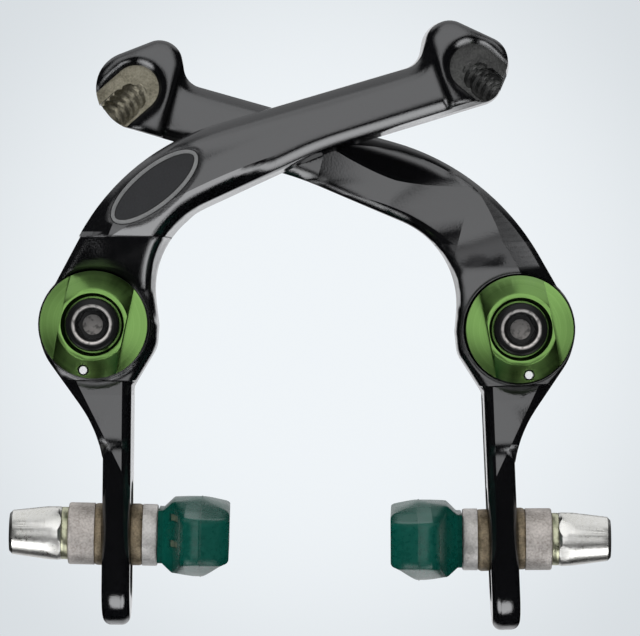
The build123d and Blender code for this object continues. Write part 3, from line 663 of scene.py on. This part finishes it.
tree_b.links.new(place_b.outputs["Object"], ragged.inputs["Vector"])
patchy = tree_b.nodes.new("ShaderNodeMapRange")
patchy.inputs["From Min"].default_value = 0.35
patchy.inputs["From Max"].default_value = 0.5
patchy.inputs["To Min"].default_value = 0.35
tree_b.links.new(ragged.outputs["Fac"], patchy.inputs["Value"])
share = number(tree_b, "MULTIPLY", bare_and_highlight, patchy.outputs["Result"])
bare_and_highlight_mix = tree_b.nodes.new("ShaderNodeMix")
bare_and_highlight_mix.data_type = "RGBA"
bare_and_highlight_mix.inputs["B"].default_value = (0.62, 0.58, 0.55, 1)
tree_b.links.new(share, bare_and_highlight_mix.inputs["Factor"])
tree_b.links.new(blend_b.outputs["Result"], bare_and_highlight_mix.inputs["A"])
tree_b.links.new(bare_and_highlight_mix.outputs["Result"], shader_b.inputs["Base Color"])
thread = tree_b.nodes.new("ShaderNodeTexWave")
thread.bands_direction = "Y"
thread.inputs["Scale"].default_value = M6_THREAD_SCALE
tree_b.links.new(place_b.outputs["Object"], thread.inputs["Vector"])
shank_only = number(tree_b, "MULTIPLY", thread.outputs["Fac"], ramp(tree_b, y_b, 0.0002, 0.0004))
groove = tree_b.nodes.new("ShaderNodeBump")
groove.inputs["Distance"].default_value = M6_THREAD_DEPTH
tree_b.links.new(shank_only, groove.inputs["Height"])
tree_b.links.new(rings_b.outputs["Normal"], groove.inputs["Normal"])
tree_b.links.new(groove.outputs["Normal"], shader_b.inputs["Normal"])
for side in SIDES:
    finished(
        merged(f"{side}_pivot_bolt"), f"{side}_bolt", [bolt_black], "frame_side",
        f"{side}_pivot_bolt", bevel=0.00012,
    )

# Pivot bushes. Turned and ground steel sleeves with broken edges, which the arms turn on.
bush_steel, *_ = turned("bush_steel", (0.42, 0.42, 0.43), (0.6, 0.6, 0.6), 0.18, 0.32, 3e-6)
for side in SIDES:
    finished(
        merged(f"{side}_pivot_bush"), f"{side}_bush", [bush_steel], "frame_side",
        f"{side}_pivot_bush", bevel=0.00015,
    )

# Return springs. Round spring wire wound round the bush. The front leg comes through the
# adjuster, where its cut end shows bright, and the back leg stands in the arm.
spring_steel, _ = mottled(
    "spring_steel", metallic=0.9, Dark=(0.45, 0.45, 0.46, 1), Pale=(0.8, 0.8, 0.8, 1),
    Patch_Scale=150.0, Grain_Scale=3000.0, Smooth=0.2, Rough=0.4, Relief=6e-6,
)
WIRE_RADIUS = 0.8
COIL_RADIUS = 8.7
COIL_PITCH = 2.1
COIL_FRONT_Y = 1.6
COIL_TURNS = 4.5
FRONT_LEG_ANGLE = math.radians(-90 - 11.4)
FRONT_LEG_Y = (-3.45, 1.7)
BACK_LEG_Y = 16.2
STEPS_PER_TURN = 48
for side in SIDES:
    turns = COIL_TURNS + OPEN[side] / 360
    coil_back_y = COIL_FRONT_Y + COIL_PITCH * turns
    back_leg_angle = FRONT_LEG_ANGLE - 2 * math.pi * turns
    mesh = bmesh.new()
    ring = bmesh.ops.create_circle(mesh, segments=16, radius=WIRE_RADIUS)["verts"]
    bmesh.ops.rotate(mesh, verts=ring, matrix=Matrix.Rotation(FRONT_LEG_ANGLE, 3, "Z"))
    bmesh.ops.translate(mesh, verts=ring, vec=(COIL_RADIUS, 0, 0))
    bmesh.ops.rotate(
        mesh, verts=ring, matrix=Matrix.Rotation(math.radians(90), 3, "X"),
        cent=(COIL_RADIUS, 0, 0),
    )
    steps = round(turns * STEPS_PER_TURN)
    bmesh.ops.spin(
        mesh, geom=mesh.edges[:], cent=(0, 0, 0), axis=(0, 0, 1),
        dvec=(0, 0, COIL_PITCH * turns / steps), angle=2 * math.pi * turns, steps=steps,
    )
    bmesh.ops.rotate(mesh, verts=mesh.verts, matrix=Matrix.Rotation(-FRONT_LEG_ANGLE, 3, "Z"))
    bmesh.ops.translate(mesh, verts=mesh.verts, vec=(0, 0, COIL_FRONT_Y))
    bmesh.ops.rotate(mesh, verts=mesh.verts, matrix=Matrix.Rotation(math.radians(-90), 3, "X"))
    for angle, leg_front, leg_back, bend_y in (
        (FRONT_LEG_ANGLE, *FRONT_LEG_Y, COIL_FRONT_Y),
        (back_leg_angle, coil_back_y - 0.1, BACK_LEG_Y, coil_back_y),
    ):
        x, z = COIL_RADIUS * math.cos(angle), COIL_RADIUS * math.sin(angle)
        leg = bmesh.ops.create_cone(
            mesh, cap_ends=True, segments=16, radius1=WIRE_RADIUS, radius2=WIRE_RADIUS,
            depth=leg_back - leg_front,
        )["verts"]
        bmesh.ops.rotate(mesh, verts=leg, matrix=Matrix.Rotation(math.radians(-90), 3, "X"))
        bmesh.ops.translate(mesh, verts=leg, vec=(x, (leg_front + leg_back) / 2, z))
        bend = bmesh.ops.create_uvsphere(
            mesh, u_segments=16, v_segments=8, radius=WIRE_RADIUS,
        )["verts"]
        bmesh.ops.translate(mesh, verts=bend, vec=(x, bend_y, z))
    place = Matrix.Translation((-PIVOT_X, 0, 0)) @ Matrix.Scale(0.001, 4)
    if side == "right":
        place = Matrix.Scale(-1, 4, (1, 0, 0)) @ place
    bmesh.ops.transform(mesh, verts=mesh.verts, matrix=place)
    bmesh.ops.recalc_face_normals(mesh, faces=mesh.faces)
    finished(
        mesh, f"{side}_spring", [spring_steel], "frame_side", f"{side}_return_spring",
        bevel=0.0001, angle=50,
    )

# Brake pads. Glossy teal rubber, moulded on the stud's plate in two mould halves that leave a
# thin line of flash. Two small windows by the neck were left by the pins that held the plate.
teal_rubber, _ = mottled(
    "teal_rubber", specular=0.42, worn_edge=0.0024,
    Dark=(0.0, 0.044, 0.031, 1), Pale=(0.001, 0.078, 0.056, 1),
    Patch_Scale=60.0, Grain_Scale=1200.0, Smooth=0.22, Rough=0.36, Relief=8e-6,
)
# The middle of the front faces the viewer, and the face leans away on both sides of it
PADS_MIDDLE_X = 0.00075
PAD_FLAT_X = (0.0202, 0.0229)
PAD_LEAN = 0.35
teal_tree = teal_rubber.node_tree
teal_place = teal_tree.nodes.new("ShaderNodeTexCoord")
x_teal, _, _ = axes(teal_tree, teal_place.outputs["Object"])
outwards_x = number(teal_tree, "ABSOLUTE", past_line(teal_tree, x_teal, PADS_MIDDLE_X))
lean(teal_rubber, number(
    teal_tree, "ADD",
    fall(teal_tree, number(teal_tree, "SUBTRACT", PAD_FLAT_X[0], outwards_x), PAD_LEAN),
    fall(teal_tree, past_line(teal_tree, outwards_x, PAD_FLAT_X[1]), PAD_LEAN),
))
window_plate, _ = mottled(
    "window_plate", metallic=0.3, Dark=(0.06, 0.085, 0.055, 1), Pale=(0.2, 0.24, 0.16, 1),
    Patch_Scale=300.0, Grain_Scale=2400.0, Smooth=0.4, Rough=0.6, Relief=1e-5,
)
PAD_TILT = {"left": 0.7, "right": -2.1}  # degrees, as the pads are set in the photograph


def on_stud(side):
    """From millimetres along and round a pad stud to its place on the brake."""
    return (
        on_pivot(side) @ Matrix.Translation((4.3, 10.2, -40.0))
        @ Matrix.Rotation(math.radians(1.3), 4, "Z")
        @ Matrix.Rotation(math.radians(PAD_TILT[side]), 4, "Y")
    )


PAD_BACK = 7.811
PAD_HALF_LENGTH = 26
WINDOW_X = (PAD_BACK + 2.2, PAD_BACK + 3.9)
WINDOW_LOW_Z = (3.4, -1.5)
WINDOW_HEIGHT = 1.4
FLASH_X = PAD_BACK + 8.2
FLASH_HALF_WIDTH = 0.16
FLASH_HEIGHT = 0.14


def cut(mesh, at, axis):
    """Cut the whole mesh by a plane across an axis."""
    bmesh.ops.bisect_plane(
        mesh, geom=mesh.verts[:] + mesh.edges[:] + mesh.faces[:], dist=0.001,
        plane_co=at * Vector(axis), plane_no=axis,
    )


for side in SIDES:
    mesh = merged(f"{side}_brake_pad")
    bmesh.ops.transform(mesh, verts=mesh.verts, matrix=on_stud(side).inverted())
    # The ends stand a little higher than the solid's
    for vert in mesh.verts:
        out = (vert.co.y / PAD_HALF_LENGTH) ** 2
        vert.co.z += out * (1.45 - 0.12 * vert.co.z)
    for x in WINDOW_X:
        cut(mesh, x, (1, 0, 0))
    for low in WINDOW_LOW_Z:
        for z in (low, low + WINDOW_HEIGHT):
            cut(mesh, z, (0, 0, 1))
    for low in WINDOW_LOW_Z:
        window = [
            f for f in mesh.faces
            if WINDOW_X[0] < f.calc_center_median().x < WINDOW_X[1] and f.normal.x < 0.2
            and low < f.calc_center_median().z < low + WINDOW_HEIGHT
            and f.calc_center_median().y < -9
        ]
        if window:
            bmesh.ops.inset_region(mesh, faces=window, thickness=0.12, depth=-0.35)
            for face in window:
                face.material_index = 1
    for x in (FLASH_X - FLASH_HALF_WIDTH, FLASH_X, FLASH_X + FLASH_HALF_WIDTH):
        cut(mesh, x, (1, 0, 0))
    for vert in mesh.verts:
        if abs(vert.co.x - FLASH_X) < 0.002 and (abs(vert.co.z) > 3.2 or abs(vert.co.y) > 24):
            end_y = vert.co.y if abs(vert.co.y) > 25 else 0
            vert.co += FLASH_HEIGHT * Vector((0, end_y, vert.co.z)).normalized()
    bmesh.ops.transform(mesh, verts=mesh.verts, matrix=on_stud(side))
    finished(
        mesh, f"{side}_pad_block", [teal_rubber, window_plate], f"{side}_pad_block",
        f"{side}_brake_pad", bevel=0.0003, angle=26,
    )

# Pad studs. Zinc plated steel with a rolled M6 thread, moulded into the pads by their plates.
# These are the CAD solids with a finish of their own.
stud_zinc, stud_shader = mottled(
    "stud_zinc", metallic=1.0, Dark=(0.45, 0.44, 0.4, 1), Pale=(0.66, 0.65, 0.6, 1),
    Patch_Scale=120.0, Grain_Scale=2400.0, Smooth=0.2, Rough=0.35, Relief=4e-6,
)
stud_tree = stud_zinc.node_tree
stud_wave = stud_tree.nodes.new("ShaderNodeTexWave")
stud_wave.bands_direction = "X"
stud_wave.inputs["Scale"].default_value = M6_THREAD_SCALE
stud_place = stud_tree.nodes.new("ShaderNodeTexCoord")
stud_tree.links.new(stud_place.outputs["Object"], stud_wave.inputs["Vector"])
stud_bump = stud_tree.nodes.new("ShaderNodeBump")
stud_bump.inputs["Distance"].default_value = M6_THREAD_DEPTH
stud_tree.links.new(stud_wave.outputs["Fac"], stud_bump.inputs["Height"])
stud_tree.links.new(stud_bump.outputs["Normal"], stud_shader.inputs["Normal"])
for side in SIDES:
    for slot in nodes[f"{side}_pad_stud"].material_slots:
        slot.material = stud_zinc

# Washers. Sintered ball and cup washers with a dull speckled surface, clamped on both sides
# of the leg by the cap nut. The ball washers are brown-gold, the thick outer cups warm grey
# and the thin inner cups pale.
ball_gold, _ = mottled(
    "ball_gold", metallic=0.5, Dark=(0.05, 0.038, 0.022, 1), Pale=(0.32, 0.25, 0.16, 1),
    Patch_Scale=420.0, Grain_Scale=2400.0, Smooth=0.35, Rough=0.6, Relief=2.5e-5,
)
cup_grey, _ = mottled(
    "cup_grey", metallic=0.4, Dark=(0.2, 0.175, 0.155, 1), Pale=(0.6, 0.55, 0.51, 1),
    Patch_Scale=300.0, Grain_Scale=2300.0, Smooth=0.35, Rough=0.6, Relief=2.5e-5,
)
cup_pale, _ = mottled(
    "cup_pale", metallic=0.4, Dark=(0.32, 0.3, 0.28, 1), Pale=(0.68, 0.65, 0.62, 1),
    Patch_Scale=300.0, Grain_Scale=2300.0, Smooth=0.3, Rough=0.55, Relief=2.5e-5,
)
for side in SIDES:
    for part, metal, slot in (
        ("inner_ball_washer", ball_gold, "ball"),
        ("outer_ball_washer", ball_gold, "ball"),
        ("inner_cup_washer", cup_pale, "cup"),
        ("outer_cup_washer", cup_grey, "cup"),
    ):
        home = nodes[f"{side}_{part}"]["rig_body"]
        finished(
            merged(f"{side}_{part}"), f"{side}_{part}_part", [metal], home,
            f"{side}_{part}", bevel=0.0003, angle=30,
        )

# Nut washers. Flat rings pressed from yellow zinc plated sheet, each between the outer cup
# and the cap nut.
washer_zinc, _ = mottled(
    "washer_zinc", metallic=1.0, Dark=(0.36, 0.37, 0.25, 1), Pale=(0.62, 0.62, 0.45, 1),
    Patch_Scale=260.0, Grain_Scale=2200.0, Smooth=0.25, Rough=0.42, Relief=6e-6,
)
for side in SIDES:
    finished(
        merged(f"{side}_nut_washer"), f"{side}_flat_washer", [washer_zinc],
        nodes[f"{side}_nut_washer"]["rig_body"], f"{side}_nut_washer", bevel=0.0002,
    )

# Cap nuts. Long closed hexagon nuts, zinc plated, turned to a cone towards their ends and
# screwed on the pad studs.
nut_zinc, _ = mottled(
    "nut_zinc", metallic=1.0, Dark=(0.66, 0.65, 0.6, 1), Pale=(0.86, 0.85, 0.82, 1),
    Patch_Scale=160.0, Grain_Scale=2000.0, Smooth=0.22, Rough=0.42, Relief=5e-6,
)
for side in SIDES:
    finished(
        merged(f"{side}_cap_nut"), f"{side}_nut", [nut_zinc], nodes[f"{side}_cap_nut"]["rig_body"],
        f"{side}_cap_nut", bevel=0.00022,
    )
